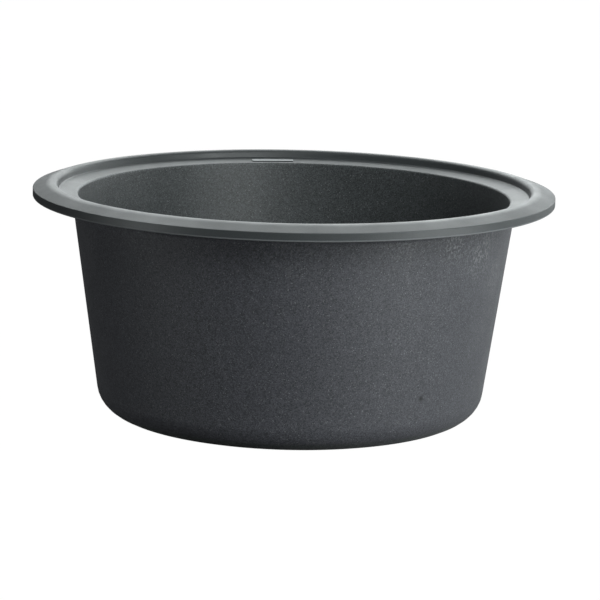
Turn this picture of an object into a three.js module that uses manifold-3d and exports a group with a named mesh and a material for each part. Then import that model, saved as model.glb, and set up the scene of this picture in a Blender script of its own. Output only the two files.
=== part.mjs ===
// Round undermount kitchen sink: a cast composite bowl with a stepped rim, and a low
// basket-strainer waste with a rear outlet. Millimetres, +Z up, +Y to the back.
// The origin is on the bowl's axis, in the plane of the rim's crest, which meets the worktop.
import * as THREE from "three";
import { mergeVertices } from "three/addons/utils/BufferGeometryUtils.js";
import Module from "manifold-3d";

const wasm = await Module();
wasm.setup();

// Rim, from the outer edge inwards
const rimRadius = 216;
const rimBandHeight = 6.9;
const rimSlopeDrop = 4.6; // crest down to the top of the band
const rimWidth = 19.7; // outer edge to the crest's inner edge
const crestWidth = 6.2;
const stepHeight = 6.5;
const stepLean = 1.7; // how far the step's foot stands inside its top edge
const ledgeFall = 2.6;
const bandTopRounding = 2;
const bandFootRounding = 1.2;
const crestRounding = 3.9;
const stepFootRounding = 1.2;
const mouthRounding = 2.2;
const ledgeWidth = 15.8; // step's foot to the mouth
const landWidth = 14; // flat land under the rim, from its edge to the haunch
const haunchDrop = 6;
const haunchRounding = 4;

// Bowl
const overallDepth = 192; // crest to the underside of the base
const wallAtMouth = 5.1;
const wallAtBase = 8;
const wallLean = 25.1; // how far the wall comes in from the rim to the base
const footRounding = 23.6;
const innerFootRounding = 20;
const floorThickness = 10.5; // at the drain
const floorFall = 2; // from the wall to the drain

// Drain hole and its seat
const drainRadius = 45;
const drainEdgeRounding = 0.8;
const seatRadius = 59;
const seatDepth = 4.5;
const seatEdgeRounding = 1.5;

// Inserts for the worktop clips
const clipInsertCount = 4;
const clipInsertInset = 8; // rim's edge to the insert's axis
const clipInsertRadius = 4;
const clipInsertLength = 5.6;
const clipThreadRadius = 2.6;

// Clearances
const stackGap = 0.2; // between pieces clamped face to face
const fitGap = 0.3; // round a piece that sits in a hole
const runGap = 0.35; // round the basket, which lifts out
const cupClearance = 1.5; // round the cup in the drain hole

// Strainer cup, pressed from sheet
const cupSheet = 1;
const cupFlangeInset = 2; // cup's flange inside the seat's edge
const cupFlangeDish = 0.5;
const cupLip = 1.6;
const flangeSealThickness = 1.6; // at its inner edge
const flangeSealInset = 3.7; // seal's inner edge out from the drain hole
const cupMouthDepth = 4; // flange to the top of the straight wall
const cupTaper = 2.4;
const cupDepth = 22; // flange to the floor of the cup
const sealSeatWidth = 9;
const sealSeatDrop = 3.5;
const portInnerRadius = 14.5;
const portWidth = 8;
const portCount = 6;
const portHalfAngle = THREE.MathUtils.degToRad(11);
const wellRadius = 11;
const wellDepth = 4;

// Centre screw and what it threads into
const screwRadius = 3.9;
const screwLength = 10.4; // below the head
const screwHeadRadius = 8;
const screwHeadHeight = 4.1;
const screwSocketRadius = 4.6;
const screwSocketDepth = 3.4;
const screwWasherThickness = 1;
const screwWasherRadius = 9.5;
const threadInsertRadius = 5.5;
const threadInsertLength = 8;

// Waste body
const gasketThickness = 2.2;
const bodyFlangeRadius = 54;
const bodyFlangeThickness = 3.2;
const bodyWall = 2.8;
const sumpRadius = 47.6;
const sumpTaper = 2;
const sumpDepth = 24.3; // on the axis, below the flange
const sumpSlope = 0.25; // fall of the sump's floor towards the outlet
const sumpRounding = 7;
const hubRadius = 8.6;
const hubFloor = 3; // solid material under the thread insert
const gussetCount = 12;
const gussetThickness = 2.2;
const gussetHeight = 9;

// Outlet, for a 40 mm pipe
const pipeRadius = 20;
const outletWall = 3.6;
const outletAxisDrop = 24.7; // below the body's flange
const ductStart = 25;
const ductHalfWidth = 36;
const ductEnd = 88;
const outletEnd = 118;
const nutRadius = 27.5;
const nutThreadEngagement = 12;
const nutEndWall = 2.6;
const nutLobes = 16;
const nutLobeDepth = 0.9;
const outletWasherLength = 4.4;
const slipRingThickness = 1.3;

// Basket, pressed from sheet, with its stopper, stem and knob
const basketSheet = 0.9;
const basketRimWidth = 3.6;
const basketLip = 1.6;
const basketRimDrop = 1.2; // basket's rim below the cup's flange
const basketTaper = 6.2;
const basketRounding = 3;
const basketHoleRadius = 1.9;
const basketHoleRings = [
  { radius: 15, count: 8 },
  { radius: 24, count: 14 },
];
const basketSlotCount = 16;
const basketSlotWidth = 2.6;
const basketSlotHeight = 5.5;
const stopperThickness = 1.8;
const stopperInset = 2.4; // stopper's edge in from the cup's wall
const stemRadius = 2.8;
const stemFlangeRadius = 9;
const stemFlangeThickness = 1.2;
const stemFlangeClearance = 0.5; // above the screw's head
const stemNutHeight = 3;
const stemNutAcrossFlats = 10;
const knobRadius = 11;
const knobHeight = 13.5;
const knobNeckRadius = 5;
const knobHeadHeight = 6.5;
const stemClipThickness = 1;

// Facets
const bowlSegments = 56;
const wasteSegments = 28;
const smallSegments = 16;
const holeSides = 6;
const chordTolerance = 0.25; // how far a facet may stand inside a fillet's true arc

// Radii and heights that follow from the sizes above
const crestInnerRadius = rimRadius - rimWidth;
const stepFootRadius = crestInnerRadius - stepLean;
const mouthRadius = stepFootRadius - ledgeWidth;
const baseRadius = mouthRadius + wallAtMouth - wallLean; // where the wall would meet the base
const clipInsertPitchRadius = rimRadius - clipInsertInset;
const rimUnderside = -(rimSlopeDrop + rimBandHeight);
const baseLevel = -overallDepth;
const floorLevel = baseLevel + floorThickness;
const seatLevel = floorLevel - seatDepth;
const cupFlangeRadius = seatRadius - cupFlangeInset;
const cupFlangeLevel =
  seatLevel + stackGap + flangeSealThickness + stackGap + cupFlangeDish + cupSheet;
const cupFloorLevel = cupFlangeLevel - cupDepth;
const wellLevel = cupFloorLevel - wellDepth;
const cupWallRadius = drainRadius - cupClearance - cupSheet;
const cupMouthRadius = cupWallRadius + cupMouthDepth;
const cupFloorRadius = cupWallRadius - cupTaper - sealSeatWidth;
const headBottomLevel = wellLevel + stackGap + screwWasherThickness + stackGap;
const headTopLevel = headBottomLevel + screwHeadHeight;
const gasketTopLevel = baseLevel - stackGap;
const bodyTopLevel = gasketTopLevel - gasketThickness - stackGap;
const bodyFlangeUnderside = bodyTopLevel - bodyFlangeThickness;
const hubTopLevel = wellLevel - cupSheet - stackGap;
const insertTopLevel = hubTopLevel - stackGap;
const insertPocketLevel = insertTopLevel - threadInsertLength - fitGap;
const outletAxisLevel = bodyFlangeUnderside - outletAxisDrop;
const boreRadius = pipeRadius + fitGap;
const outletRadius = boreRadius + outletWall;
const stemFlangeLevel = headTopLevel + stemFlangeClearance;
const stopperLevel = stemFlangeLevel + stemFlangeThickness + stackGap;
const basketFloorLevel = stopperLevel + stopperThickness + stackGap + basketSheet;
const basketRimLevel = cupFlangeLevel - basketRimDrop;
const stemNutLevel = basketFloorLevel + stackGap;
const knobLevel = stemNutLevel + stemNutHeight + stackGap;

// ---- Shaping ----

// A polyline through corners [x, y, fillet radius], with an arc at each rounded corner.
function outline(corners, closed) {
  const points = [];
  corners.forEach(([x, y, radius = 0], i) => {
    const corner = new THREE.Vector2(x, y);
    const isEnd = !closed && (i === 0 || i === corners.length - 1);
    if (!radius || isEnd) {
      points.push(corner);
      return;
    }
    const [px, py] = corners.at(i - 1);
    const [nx, ny] = corners[(i + 1) % corners.length];
    const back = new THREE.Vector2(px, py).sub(corner);
    const ahead = new THREE.Vector2(nx, ny).sub(corner);
    const turn = Math.PI - Math.abs(Math.acos(back.dot(ahead) / (back.length() * ahead.length())));
    const room = 0.49 * Math.min(back.length(), ahead.length());
    const reach = Math.min(radius * Math.tan(turn / 2), room);
    const trueRadius = reach / Math.tan(turn / 2);
    back.normalize();
    ahead.normalize();
    const toCentre = back.clone().add(ahead).normalize();
    const centre = corner.clone().addScaledVector(toCentre, trueRadius / Math.cos(turn / 2));
    const start = corner.clone().addScaledVector(back, reach).sub(centre);
    const side = Math.sign(back.cross(start));
    const step = 2 * Math.acos(Math.max(0, 1 - chordTolerance / trueRadius));
    const steps = Math.ceil(turn / step);
    for (let k = 0; k <= steps; k++) {
      const angle = (side * turn * k) / steps;
      points.push(start.clone().rotateAround(new THREE.Vector2(), angle).add(centre));
    }
  });
  return points;
}

// The outline of a sheet: a line and its copy, set off to the line's left by the thickness.
function sheetOutline(line, thickness) {
  const offset = line.map((point, i) => {
    const before = line[Math.max(i - 1, 0)];
    const after = line[Math.min(i + 1, line.length - 1)];
    const first = point.clone().sub(before).normalize();
    const second = after.clone().sub(point).normalize();
    const along = first.clone().add(second).normalize();
    const stretch = i === 0 || i === line.length - 1 ? 1 : along.dot(second);
    return new THREE.Vector2(-along.y, along.x).multiplyScalar(thickness / stretch).add(point);
  });
  return [...line, ...offset.reverse()];
}

// A manifold-3d solid from a closed three.js geometry.
function solid(geometry) {
  const bare = geometry.index ? geometry.toNonIndexed() : geometry.clone();
  bare.deleteAttribute("normal");
  bare.deleteAttribute("uv");
  const merged = mergeVertices(bare, 1e-4);
  const index = merged.index.array;
  const faces = [];
  for (let i = 0; i < index.length; i += 3) {
    const [a, b, c] = [index[i], index[i + 1], index[i + 2]];
    if (a !== b && b !== c && c !== a) faces.push(a, b, c);
  }
  return new wasm.Manifold(
    new wasm.Mesh({
      numProp: 3,
      vertProperties: merged.attributes.position.array,
      triVerts: new Uint32Array(faces),
    }),
  );
}

// A geometry turned about +Z from a closed or axis-to-axis outline of radii and heights.
function revolved(points, segments) {
  const profile = THREE.ShapeUtils.area(points) < 0 ? points.toReversed() : points;
  const meetsAxis = profile[0].x === 0 && profile.at(-1).x === 0;
  if (!meetsAxis) profile.push(profile[0].clone());
  return new THREE.LatheGeometry(profile, segments).rotateX(Math.PI / 2);
}

function turned(corners, segments) {
  const meetsAxis = corners[0][0] === 0 && corners.at(-1)[0] === 0;
  return solid(revolved(outline(corners, !meetsAxis), segments));
}

function pressed(corners, thickness, segments) {
  return solid(revolved(sheetOutline(outline(corners, false), thickness), segments));
}

function ring(innerRadius, outerRadius, bottom, top, segments) {
  return turned(
    [
      [innerRadius, bottom],
      [outerRadius, bottom],
      [outerRadius, top],
      [innerRadius, top],
    ],
    segments,
  );
}

function rod(radius, bottom, top, segments) {
  return turned(
    [
      [0, bottom],
      [radius, bottom],
      [radius, top],
      [0, top],
    ],
    segments,
  );
}

function extruded(shape, depth, curveSegments = 3) {
  return new THREE.ExtrudeGeometry(shape, { depth, bevelEnabled: false, curveSegments });
}

// Copies of a geometry spaced evenly about +Z, as one list of solids.
function aroundAxis(count, make) {
  return Array.from({ length: count }, (_, i) => {
    const angle = (i * 2 * Math.PI) / count;
    return solid(make(angle).rotateZ(angle));
  });
}

function cutAll(body, cutters) {
  return cutters.reduce((left, cutter) => left.subtract(cutter), body);
}

// Lays a solid built along +Z down along +Y, on the outlet's axis.
function onOutletAxis(geometry) {
  return solid(geometry.rotateX(-Math.PI / 2).translate(0, 0, outletAxisLevel));
}

// A closed skin over rings with equal numbers of points, capped at both ends.
function lofted(rings) {
  const count = rings[0].length;
  const positions = rings.flat().flatMap((p) => p.toArray());
  const faces = [];
  for (let r = 0; r < rings.length - 1; r++) {
    for (let i = 0; i < count; i++) {
      const a = r * count + i;
      const b = r * count + ((i + 1) % count);
      faces.push(a, a + count, b, b, a + count, b + count);
    }
  }
  const last = (rings.length - 1) * count;
  for (let i = 1; i < count - 1; i++) {
    faces.push(0, i, i + 1, last, last + i + 1, last + i);
  }
  const geometry = new THREE.BufferGeometry();
  geometry.setAttribute("position", new THREE.Float32BufferAttribute(positions, 3));
  geometry.setIndex(faces);
  return geometry;
}

function piece(name, body, material) {
  const mesh = body.getMesh();
  const geometry = new THREE.BufferGeometry();
  geometry.setAttribute("position", new THREE.Float32BufferAttribute(mesh.vertProperties, 3));
  geometry.setIndex(new THREE.Uint32BufferAttribute(mesh.triVerts, 1));
  geometry.computeVertexNormals();
  const made = new THREE.Mesh(geometry, material);
  made.name = name;
  return made;
}

// ---- Materials ----

function finish(color, roughness, metalness) {
  return new THREE.MeshStandardMaterial({ color, roughness, metalness });
}

const composite = finish(0x4b4f51, 0.6, 0);
const stainless = finish(0xb8babc, 0.28, 1);
const brass = finish(0xb59a55, 0.35, 1);
const blackRubber = finish(0x1b1b1c, 0.8, 0);
const greySeal = finish(0x8f9294, 0.75, 0);
const blackPlastic = finish(0x232426, 0.5, 0);
const whitePlastic = finish(0xd9d9d4, 0.45, 0);

// ---- Bowl ----

function outerWallRadius(z) {
  const slope = (mouthRadius + wallAtMouth - baseRadius) / (rimUnderside - baseLevel);
  return baseRadius + slope * (z - baseLevel);
}

function clipInsertPlaces() {
  return Array.from({ length: clipInsertCount }, (_, i) => {
    const angle = ((i + 0.5) * 2 * Math.PI) / clipInsertCount;
    return [clipInsertPitchRadius * Math.cos(angle), clipInsertPitchRadius * Math.sin(angle)];
  });
}

function makeBowl() {
  const haunchLevel = rimUnderside - haunchDrop;
  const innerFootLevel = floorLevel + floorFall;
  const body = turned(
    [
      [crestInnerRadius, 0, crestRounding],
      [stepFootRadius, -stepHeight, stepFootRounding],
      [mouthRadius, -stepHeight - ledgeFall, mouthRounding],
      [outerWallRadius(innerFootLevel) - wallAtBase, innerFootLevel, innerFootRounding],
      [seatRadius, floorLevel, seatEdgeRounding],
      [seatRadius, seatLevel],
      [drainRadius, seatLevel, drainEdgeRounding],
      [drainRadius, baseLevel, drainEdgeRounding],
      [baseRadius, baseLevel, footRounding],
      [outerWallRadius(haunchLevel), haunchLevel, haunchRounding],
      [rimRadius - landWidth, rimUnderside, haunchRounding],
      [rimRadius, rimUnderside, bandFootRounding],
      [rimRadius, -rimSlopeDrop, bandTopRounding],
      [crestInnerRadius + crestWidth, 0, haunchRounding],
    ],
    bowlSegments,
  );
  const pocket = revolved(
    outline(
      [
        [0, rimUnderside - fitGap],
        [clipInsertRadius + fitGap, rimUnderside - fitGap],
        [clipInsertRadius + fitGap, rimUnderside + clipInsertLength + fitGap],
        [0, rimUnderside + clipInsertLength + fitGap],
      ],
      false,
    ),
    smallSegments,
  );
  const pockets = clipInsertPlaces().map(([x, y]) => solid(pocket.clone().translate(x, y, 0)));
  return cutAll(body, pockets);
}

// ---- Strainer cup ----

function kidneyPort() {
  const middle = portInnerRadius + portWidth / 2;
  const half = portWidth / 2;
  const outer = portInnerRadius + portWidth;
  const a = portHalfAngle;
  const end = [middle * Math.cos(a), middle * Math.sin(a)];
  const shape = new THREE.Shape();
  shape.absarc(0, 0, outer, -a, a, false);
  shape.absarc(end[0], end[1], half, a, a + Math.PI, false);
  shape.absarc(0, 0, portInnerRadius, a, -a, true);
  shape.absarc(end[0], -end[1], half, Math.PI - a, 2 * Math.PI - a, false);
  return extruded(shape, 3 * cupSheet).translate(0, 0, cupFloorLevel - 2 * cupSheet);
}

function makeCup() {
  const wallTop = cupFlangeLevel - cupMouthDepth;
  const seatTop = cupFloorLevel + sealSeatDrop;
  const body = pressed(
    [
      [cupFlangeRadius, cupFlangeLevel - cupLip],
      [cupFlangeRadius, cupFlangeLevel, 1.2 * cupSheet],
      [cupMouthRadius, cupFlangeLevel - cupFlangeDish, cupMouthDepth],
      [cupWallRadius, wallTop, cupMouthDepth],
      [cupWallRadius - cupTaper, seatTop, 1.5 * cupSheet],
      [cupFloorRadius, cupFloorLevel, 2 * cupSheet],
      [wellRadius + cupSheet, cupFloorLevel, cupSheet],
      [wellRadius, wellLevel, cupSheet],
      [screwRadius + 2 * fitGap, wellLevel],
    ],
    cupSheet,
    wasteSegments,
  );
  return cutAll(body, aroundAxis(portCount, kidneyPort));
}

function makeFlangeSeal() {
  const bottom = seatLevel + stackGap;
  const outer = cupFlangeRadius - cupSheet - fitGap;
  const inner = drainRadius + flangeSealInset;
  const dishAt = (radius) =>
    (cupFlangeDish * (cupFlangeRadius - radius)) / (cupFlangeRadius - cupMouthRadius);
  const topAt = (radius) => cupFlangeLevel - dishAt(radius) - cupSheet - stackGap;
  return turned(
    [
      [inner, bottom],
      [outer, bottom],
      [outer, topAt(outer)],
      [inner, topAt(inner)],
    ],
    wasteSegments,
  );
}

// ---- Centre screw ----

function makeCentreScrew() {
  const tip = headBottomLevel - screwLength;
  return turned(
    [
      [0, tip],
      [screwRadius, tip, 0.8],
      [screwRadius, headBottomLevel],
      [screwHeadRadius, headBottomLevel],
      [screwHeadRadius, headTopLevel, 1],
      [screwSocketRadius, headTopLevel],
      [screwSocketRadius, headTopLevel - screwSocketDepth],
      [0, headTopLevel - screwSocketDepth],
    ],
    smallSegments,
  );
}

function makeScrewWasher() {
  const bottom = wellLevel + stackGap;
  return ring(screwRadius + fitGap, screwWasherRadius, bottom, bottom + screwWasherThickness,
    smallSegments);
}

function makeStemClip() {
  const middle = headTopLevel - screwSocketDepth / 2;
  const half = stemClipThickness / 2;
  return ring(stemRadius + runGap, screwSocketRadius - stackGap, middle - half, middle + half,
    smallSegments);
}

function makeThreadInsert() {
  return ring(screwRadius + fitGap, threadInsertRadius, insertTopLevel - threadInsertLength,
    insertTopLevel, smallSegments);
}

// ---- Waste body ----

// Makes a turned sump's depth grow towards the outlet, so that its floor slopes.
function slopeFloor(geometry, depth) {
  const place = geometry.attributes.position;
  for (let i = 0; i < place.count; i++) {
    const z = place.getZ(i);
    if (z < 0) place.setZ(i, (z * (depth + sumpSlope * place.getY(i))) / depth);
  }
  return geometry;
}

function sumpShape(radius, depth, rounding, rise) {
  const profile = outline(
    [
      [0, -depth],
      [radius - sumpTaper, -depth, rounding],
      [radius, 0],
      [radius, rise],
      [0, rise],
    ],
    false,
  );
  const sloped = slopeFloor(revolved(profile, wasteSegments), depth);
  return solid(sloped.translate(0, 0, bodyFlangeUnderside));
}

// The duct from the sump to the round outlet: ellipses that turn into a circle.
function ductShape(inset, start, end) {
  const sections = 5;
  const points = 28;
  const rings = [];
  for (let k = 0; k < sections; k++) {
    const share = k / (sections - 1);
    const y = start + (end - start) * share;
    const along = (y - ductStart) / (ductEnd - ductStart);
    const eased = THREE.MathUtils.smoothstep(along, 0, 1);
    const halfWidth = THREE.MathUtils.lerp(ductHalfWidth, outletRadius, eased) - inset;
    const sumpFloor = bodyFlangeUnderside - sumpDepth - sumpSlope * ductStart;
    const startTop = bodyFlangeUnderside + bodyFlangeThickness / 2;
    const top = THREE.MathUtils.lerp(startTop, outletAxisLevel + outletRadius, along) - inset;
    const bottom = THREE.MathUtils.lerp(sumpFloor, outletAxisLevel - outletRadius, along) + inset;
    const ringPoints = [];
    for (let i = 0; i < points; i++) {
      const angle = (2 * Math.PI * i) / points;
      const x = halfWidth * Math.cos(angle);
      const z = (top + bottom) / 2 + ((top - bottom) / 2) * Math.sin(angle);
      ringPoints.push(new THREE.Vector3(x, y, z));
    }
    rings.push(ringPoints);
  }
  return solid(lofted(rings));
}

function gusset() {
  const inner = sumpRadius - sumpTaper - bodyWall / 2;
  const outer = bodyFlangeRadius - bodyWall / 2;
  const shape = new THREE.Shape([
    new THREE.Vector2(inner, -gussetHeight),
    new THREE.Vector2(sumpRadius, -gussetHeight),
    new THREE.Vector2(outer, 0),
    new THREE.Vector2(outer, bodyFlangeThickness / 2),
    new THREE.Vector2(inner, bodyFlangeThickness / 2),
  ]);
  return extruded(shape, gussetThickness)
    .translate(0, 0, -gussetThickness / 2)
    .rotateX(Math.PI / 2)
    .translate(0, 0, bodyFlangeUnderside);
}

function makeWasteBody() {
  const flange = rod(bodyFlangeRadius, bodyFlangeUnderside, bodyTopLevel, wasteSegments);
  const outlet = onOutletAxis(
    new THREE.CylinderGeometry(outletRadius, outletRadius, outletEnd - ductEnd + bodyWall, 28)
      .rotateX(Math.PI / 2)
      .translate(0, 0, (outletEnd + ductEnd - bodyWall) / 2),
  );
  const bore = onOutletAxis(
    new THREE.CylinderGeometry(boreRadius, boreRadius, outletEnd - ductEnd + 4 * bodyWall, 28)
      .rotateX(Math.PI / 2)
      .translate(0, 0, (outletEnd + ductEnd) / 2),
  );
  const gussets = aroundAxis(gussetCount, gusset);
  const shell = gussets
    .reduce((sum, one) => sum.add(one), flange.add(sumpShape(sumpRadius, sumpDepth, sumpRounding, 1)))
    .add(ductShape(0, ductStart, ductEnd))
    .add(outlet);
  const hollow = sumpShape(sumpRadius - bodyWall, sumpDepth - bodyWall, sumpRounding - bodyWall,
    bodyFlangeThickness + 1)
    .add(ductShape(bodyWall, ductStart - bodyWall, ductEnd))
    .add(bore);
  const hub = rod(hubRadius, insertPocketLevel - hubFloor, hubTopLevel, smallSegments);
  const pocket = rod(threadInsertRadius + fitGap, insertPocketLevel, hubTopLevel + 1, smallSegments);
  return shell.subtract(hollow).add(hub).subtract(pocket);
}

function makeGasket() {
  const inner = drainRadius + cupClearance / 2;
  return ring(inner, bodyFlangeRadius, gasketTopLevel - gasketThickness, gasketTopLevel,
    wasteSegments);
}

// ---- Outlet joint ----

const washerStart = outletEnd + stackGap;
const slipStart = washerStart + outletWasherLength + stackGap;
const nutEndInner = slipStart + slipRingThickness + stackGap;
const nutEnd = nutEndInner + nutEndWall;

function makeOutletNut() {
  const steps = nutLobes * 4;
  const rim = Array.from({ length: steps }, (_, i) => {
    const angle = (2 * Math.PI * i) / steps;
    const radius = nutRadius - (nutLobeDepth * (1 - Math.cos(nutLobes * angle))) / 2;
    return new THREE.Vector2(radius * Math.cos(angle), radius * Math.sin(angle));
  });
  const start = outletEnd - nutThreadEngagement;
  const block = extruded(new THREE.Shape(rim), nutEnd - start).translate(0, 0, start);
  const hollow = revolved(
    outline(
      [
        [0, start - 1],
        [outletRadius + fitGap, start - 1],
        [outletRadius + fitGap, nutEndInner],
        [boreRadius + fitGap, nutEndInner],
        [boreRadius + fitGap, nutEnd + 1],
        [0, nutEnd + 1],
      ],
      false,
    ),
    28,
  );
  return onOutletAxis(block).subtract(onOutletAxis(hollow));
}

function makeOutletWasher() {
  return onOutletAxis(
    revolved(
      outline(
        [
          [boreRadius, washerStart],
          [outletRadius - fitGap, washerStart],
          [outletRadius - fitGap, washerStart + outletWasherLength / 3],
          [boreRadius + outletWall / 2, washerStart + outletWasherLength],
          [boreRadius, washerStart + outletWasherLength],
        ],
        true,
      ),
      28,
    ),
  );
}

function makeSlipRing() {
  const points = outline(
    [
      [boreRadius + fitGap, slipStart],
      [outletRadius - fitGap, slipStart],
      [outletRadius - fitGap, slipStart + slipRingThickness],
      [boreRadius + fitGap, slipStart + slipRingThickness],
    ],
    true,
  );
  return onOutletAxis(revolved(points, 28));
}

// ---- Basket ----

function makeBasket() {
  const basketRimRadius = cupWallRadius - runGap;
  const wallTop = basketRimRadius - basketRimWidth;
  const body = pressed(
    [
      [basketRimRadius, basketRimLevel - basketLip],
      [basketRimRadius, basketRimLevel, basketSheet],
      [wallTop, basketRimLevel, basketSheet],
      [wallTop - basketTaper, basketFloorLevel, basketRounding],
      [stemRadius + fitGap, basketFloorLevel],
    ],
    basketSheet,
    wasteSegments,
  );
  const holes = [];
  for (const { radius, count } of basketHoleRings) {
    holes.push(
      ...aroundAxis(count, () =>
        new THREE.CylinderGeometry(basketHoleRadius, basketHoleRadius, 4 * basketSheet, holeSides)
          .rotateX(Math.PI / 2)
          .translate(radius, 0, basketFloorLevel),
      ),
    );
  }
  const slots = aroundAxis(basketSlotCount, () =>
    new THREE.BoxGeometry(2 * basketTaper, basketSlotWidth, basketSlotHeight)
      .translate(wallTop - basketTaper / 2, 0, (basketRimLevel + basketFloorLevel) / 2),
  );
  return cutAll(body, [...holes, ...slots]);
}

function makeStopper() {
  const wall = cupWallRadius - cupTaper;
  const edge = wall - stopperInset;
  const seatAt = (radius) =>
    cupFloorLevel + (sealSeatDrop * (radius - cupFloorRadius)) / sealSeatWidth + runGap;
  const lipInner = cupFloorRadius + stopperThickness;
  return turned(
    [
      [stemRadius + fitGap, stopperLevel],
      [cupFloorRadius - stopperThickness, stopperLevel, 1],
      [lipInner, seatAt(lipInner)],
      [edge, seatAt(edge)],
      [edge, seatAt(edge) + stopperThickness / 2],
      [cupFloorRadius, stopperLevel + stopperThickness, 2],
      [stemRadius + fitGap, stopperLevel + stopperThickness],
    ],
    wasteSegments,
  );
}

function makeStem() {
  const tip = headTopLevel - screwSocketDepth + runGap;
  const top = knobLevel + knobHeight / 2;
  return turned(
    [
      [0, tip],
      [stemRadius, tip, 1.4],
      [stemRadius, stemFlangeLevel],
      [stemFlangeRadius, stemFlangeLevel],
      [stemFlangeRadius, stemFlangeLevel + stemFlangeThickness],
      [stemRadius, stemFlangeLevel + stemFlangeThickness],
      [stemRadius, top],
      [0, top],
    ],
    smallSegments,
  );
}

function makeStemNut() {
  const cornerRadius = stemNutAcrossFlats / Math.sqrt(3);
  const hex = new THREE.CylinderGeometry(cornerRadius, cornerRadius, stemNutHeight, 6)
    .rotateX(Math.PI / 2)
    .translate(0, 0, stemNutLevel + stemNutHeight / 2);
  const bore = rod(stemRadius + fitGap, stemNutLevel - 1, knobLevel, smallSegments);
  return solid(hex).subtract(bore);
}

function makeKnob() {
  const top = knobLevel + knobHeight;
  const socketTop = knobLevel + knobHeight / 2 + fitGap;
  return turned(
    [
      [0, socketTop],
      [stemRadius + fitGap, socketTop],
      [stemRadius + fitGap, knobLevel],
      [knobNeckRadius, knobLevel],
      [knobNeckRadius, top - knobHeadHeight, 2],
      [knobRadius, top - knobHeadHeight + 1.5, 1.5],
      [knobRadius, top, 2.5],
      [0, top],
    ],
    wasteSegments,
  );
}

// ---- Assembly ----

const sink = new THREE.Group();
const basket = new THREE.Group(); // everything that lifts out together
sink.add(basket);

sink.add(piece("sink_bowl", makeBowl(), composite));
clipInsertPlaces().forEach(([x, y], i) => {
  const insert = piece(
    `clip_insert_${i + 1}`,
    ring(clipThreadRadius, clipInsertRadius, 0, clipInsertLength, smallSegments),
    brass,
  );
  insert.position.set(x, y, rimUnderside);
  sink.add(insert);
});
sink.add(piece("strainer_cup", makeCup(), stainless));
sink.add(piece("flange_seal", makeFlangeSeal(), greySeal));
sink.add(piece("waste_gasket", makeGasket(), blackRubber));
sink.add(piece("waste_body", makeWasteBody(), blackPlastic));
sink.add(piece("thread_insert", makeThreadInsert(), brass));
sink.add(piece("centre_screw", makeCentreScrew(), stainless));
sink.add(piece("screw_washer", makeScrewWasher(), stainless));
sink.add(piece("stem_clip", makeStemClip(), stainless));
sink.add(piece("outlet_nut", makeOutletNut(), blackPlastic));
sink.add(piece("outlet_slip_ring", makeSlipRing(), whitePlastic));
sink.add(piece("outlet_washer", makeOutletWasher(), blackRubber));

basket.add(piece("strainer_basket", makeBasket(), stainless));
basket.add(piece("basket_seal", makeStopper(), blackRubber));
basket.add(piece("basket_stem", makeStem(), stainless));
basket.add(piece("stem_nut", makeStemNut(), stainless));
basket.add(piece("basket_knob", makeKnob(), stainless));

export default sink;
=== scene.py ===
import math

import bmesh
import bpy
from mathutils import Matrix, Vector


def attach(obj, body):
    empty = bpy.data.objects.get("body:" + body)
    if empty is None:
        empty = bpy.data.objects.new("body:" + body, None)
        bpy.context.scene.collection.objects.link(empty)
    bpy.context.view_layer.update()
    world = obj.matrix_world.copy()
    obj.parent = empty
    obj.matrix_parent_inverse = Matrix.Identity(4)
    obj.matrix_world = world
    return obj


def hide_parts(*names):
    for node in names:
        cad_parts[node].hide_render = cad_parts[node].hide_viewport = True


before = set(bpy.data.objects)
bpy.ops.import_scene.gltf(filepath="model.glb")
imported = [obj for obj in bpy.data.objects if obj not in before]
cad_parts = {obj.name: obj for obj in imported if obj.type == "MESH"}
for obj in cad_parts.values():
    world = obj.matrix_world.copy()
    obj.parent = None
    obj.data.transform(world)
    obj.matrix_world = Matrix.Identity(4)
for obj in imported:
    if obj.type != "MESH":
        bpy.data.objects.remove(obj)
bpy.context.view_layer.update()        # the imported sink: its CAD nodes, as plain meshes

# The origin is on the bowl's axis, in the plane of the rim's crest. The dictionaries hold
# millimetres, which the mesh helpers turn into metres.
mm = 0.001
mergeGap = 1e-6     # metres between points that count as one
arcStep = math.radians(11)      # the largest turn between two points of a rounding
sideShare = 0.49    # a rounding takes at most this much of each side
flatHold = 0.4      # straight runs get a point this far from each end, to keep them flat
leastSpread = 0.3   # keeps a sheet's outline from flying out at a sharp bend
cutterReach = (-3, 2)       # how far a cutter goes below and above a sheet's level


class Settings(dict):
    __getattr__ = dict.__getitem__      # s.width reads the value named width


def filleted(corners, closed):
    # corners are (x, y, rounding), where the rounding may be left out
    spans = []
    for i, corner in enumerate(corners):
        here = Vector(corner[:2])
        radius = corner[2] if len(corner) > 2 else 0
        isEnd = not closed and i in (0, len(corners) - 1)
        if radius == 0 or isEnd:
            spans.append([here])
            continue
        back = Vector(corners[i - 1][:2]) - here
        ahead = Vector(corners[(i + 1) % len(corners)][:2]) - here
        turn = math.pi - back.angle(ahead)
        reach = min(radius * math.tan(turn / 2), sideShare * back.length, sideShare * ahead.length)
        trueRadius = reach / math.tan(turn / 2)
        toCentre = (back.normalized() + ahead.normalized()).normalized()
        centre = here + toCentre * trueRadius / math.cos(turn / 2)
        start = here + back.normalized() * reach - centre
        side = math.copysign(1, back.x * start.y - back.y * start.x)
        steps = max(3, math.ceil(turn / arcStep))
        spans.append([centre + Matrix.Rotation(side * turn * k / steps, 2) @ start
                      for k in range(steps + 1)])
    points = []
    last = len(spans) if closed else len(spans) - 1
    for i, span in enumerate(spans):
        points.extend(span)
        if i >= last:
            continue
        a = span[-1]
        b = spans[(i + 1) % len(spans)][0]
        run = (b - a).length
        if run > 4 * flatHold:
            points.append(a.lerp(b, flatHold / run))
            points.append(a.lerp(b, 1 - flatHold / run))
    return points


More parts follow.
